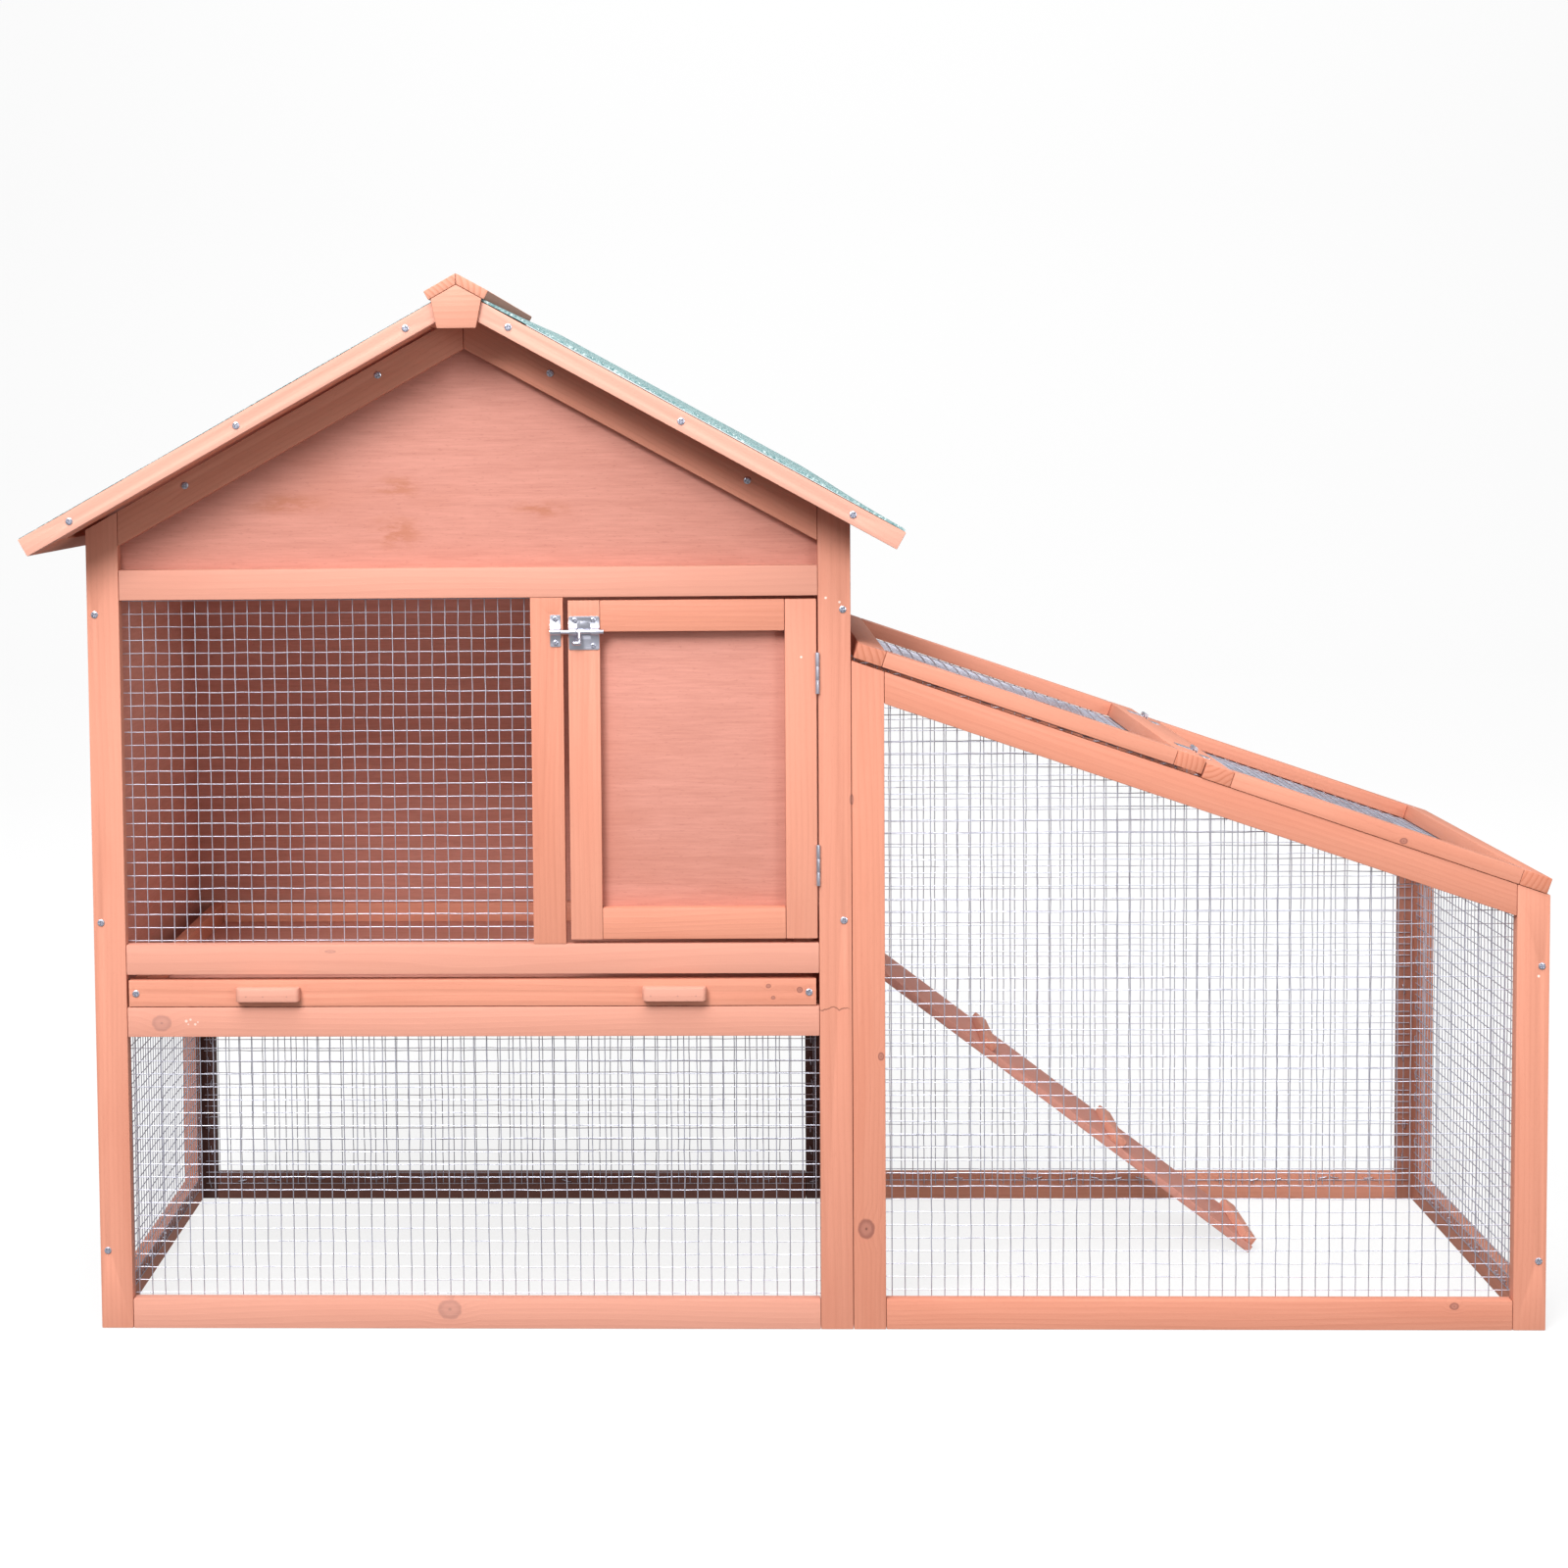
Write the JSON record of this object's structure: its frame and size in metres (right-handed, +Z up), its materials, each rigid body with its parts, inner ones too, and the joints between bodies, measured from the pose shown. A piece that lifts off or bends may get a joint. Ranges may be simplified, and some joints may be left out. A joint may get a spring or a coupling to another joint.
{
  "type": "chicken coop",
  "caption": "Small wooden coop: gabled house on legs with a hinged door, pull-out tray and wire window, and a lean-to wire run with a lifting lid and a ramp.",
  "frame": {"origin": "middle of the coop's footprint, on the ground", "axes": "+X along the front from the house to the run, +Y from the front to the back, +Z up"},
  "size_m": [1.44, 0.645, 1.0135],
  "materials": {
    "timber": "stained fir, matt",
    "plywood": "stained plywood, matt",
    "roof_trim": "stained fir, matt",
    "felt": "green mineral felt, granular",
    "wire": "galvanised",
    "zinc": "zinc plated"
  },
  "bodies": {
    "house_and_run": {"back_lower_mesh": "wire", "back_posts": "timber", "back_rails": "timber", "back_rake_rails": "timber", "back_wall_panel": "plywood", "barge_boards": "roof_trim", "bolt_keeper": "zinc", "fixed_lid_frame": "timber", "fixed_lid_leaves": "zinc", "fixed_lid_mesh": "wire", "frame_screws": "zinc", "front_gable_panel": "plywood", "front_lower_mesh": "wire", "front_posts": "timber", "front_rails": "timber", "front_rake_rails": "timber", "front_stile": "timber", "hinge_pins": "zinc", "left_lower_mesh": "wire", "left_side_frame": "timber", "left_wall_panel": "plywood", "post_hinge_leaves": "zinc", "ridge_boards": "roof_trim", "ridge_end_plates": "roof_trim", "right_side_frame": "timber", "right_wall_panel": "plywood", "roof_felts": "felt", "roof_frames": "timber", "roof_sheets": "plywood", "run_back_mesh": "wire", "run_back_posts": "timber", "run_back_rails": "timber", "run_front_mesh": "wire", "run_front_posts": "timber", "run_front_rails": "timber", "run_side_frame": "timber", "run_side_mesh": "wire", "tray_runners": "timber", "wall_hinge_leaves": "zinc", "window_mesh": "wire"},
    "door": {"door_stiles": "timber", "door_rails": "timber", "door_panel": "plywood", "door_hinge_leaves": "zinc", "bolt_plate": "zinc", "door_screws": "zinc"},
    "bolt": {"bolt_rod": "zinc"},
    "tray": {"tray_front": "timber", "tray_floor": "plywood", "tray_walls": "timber", "tray_handles": "timber", "tray_screws": "zinc"},
    "lid": {"opening_lid_frame": "timber", "opening_lid_mesh": "wire", "moving_lid_leaves": "zinc"},
    "ramp": {"ramp_board": "plywood", "ramp_cleats": "timber", "ramp_hinge_leaves": "zinc"}
  },
  "joints": [
    {"name": "door_hinge", "type": "hinge", "parent": "house_and_run", "child": "door", "pos_m": [0.02675, -0.2495, 0.5434], "axis": [0, 0, 1], "range_deg": [0, 165]},
    {"name": "bolt_slide", "type": "slide", "parent": "door", "child": "bolt", "axis": [1, 0, 0], "range_m": [0, 0.0085]},
    {"name": "tray_slide", "type": "slide", "parent": "house_and_run", "child": "tray", "axis": [0, -1, 0], "range_m": [0, 0.42]},
    {"name": "lid_hinge", "type": "hinge", "parent": "house_and_run", "child": "lid", "pos_m": [0.39582, 0, 0.55305], "axis": [0, 1, 0], "range_deg": [0, 170]},
    {"name": "ramp_hinge", "type": "hinge", "parent": "house_and_run", "child": "ramp", "pos_m": [0.0608, 0.087, 0.3353], "axis": [0, -1, 0], "range_deg": [0, 45]}
  ]
}
